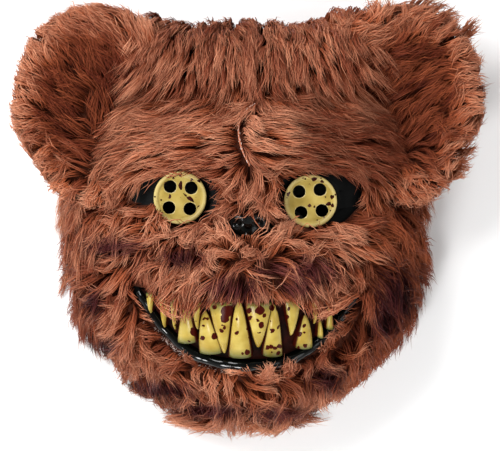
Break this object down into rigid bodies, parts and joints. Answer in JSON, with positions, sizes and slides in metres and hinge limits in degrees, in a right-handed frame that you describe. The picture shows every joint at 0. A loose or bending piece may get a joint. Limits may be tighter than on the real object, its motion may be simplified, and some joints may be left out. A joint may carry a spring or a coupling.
{
  "type": "plush bear mask",
  "caption": "Scary plush bear mask: hollow face shell with shaggy brown fur, round ears, button eyes, a toothy grin and an elastic strap.",
  "frame": {"origin": "on the surface the mask lies on, under the middle of its outer box", "axes": "the mask lies on its rim, face up: +Z out of the face, +Y towards the crown, +X to the right of someone facing the mask"},
  "size_m": [0.2766, 0.2554, 0.1023],
  "materials": {
    "fur": "long brown pile with dark red stains",
    "shell": "black moulded plastic",
    "button": "yellow with dark red specks",
    "tooth": "glossy yellow, dark at the roots, dark red drops",
    "gloss_black": "high gloss black",
    "elastic": "woven black elastic",
    "rivet": "nickel-plated"
  },
  "bodies": {
    "root": {"ear_left": "fur", "ear_right": "fur", "eye_button_left": "button", "eye_button_right": "button", "face_shell": "shell", "fur_forehead_left": "fur", "fur_forehead_right": "fur", "fur_jaw": "fur", "fur_muzzle": "fur", "gum_plate": "gloss_black", "head_strap": "elastic", "lower_lip": "gloss_black", "nose": "gloss_black", "strap_rivet_left": "rivet", "strap_rivet_right": "rivet", "tooth_lower_1": "tooth", "tooth_lower_2": "tooth", "tooth_lower_3": "tooth", "tooth_lower_4": "tooth", "tooth_lower_5": "tooth", "tooth_lower_6": "tooth", "tooth_lower_7": "tooth", "tooth_upper_1": "tooth", "tooth_upper_2": "tooth", "tooth_upper_3": "tooth", "tooth_upper_4": "tooth", "tooth_upper_5": "tooth", "tooth_upper_6": "tooth", "tooth_upper_7": "tooth", "tooth_upper_8": "tooth"}
  },
  "joints": []
}
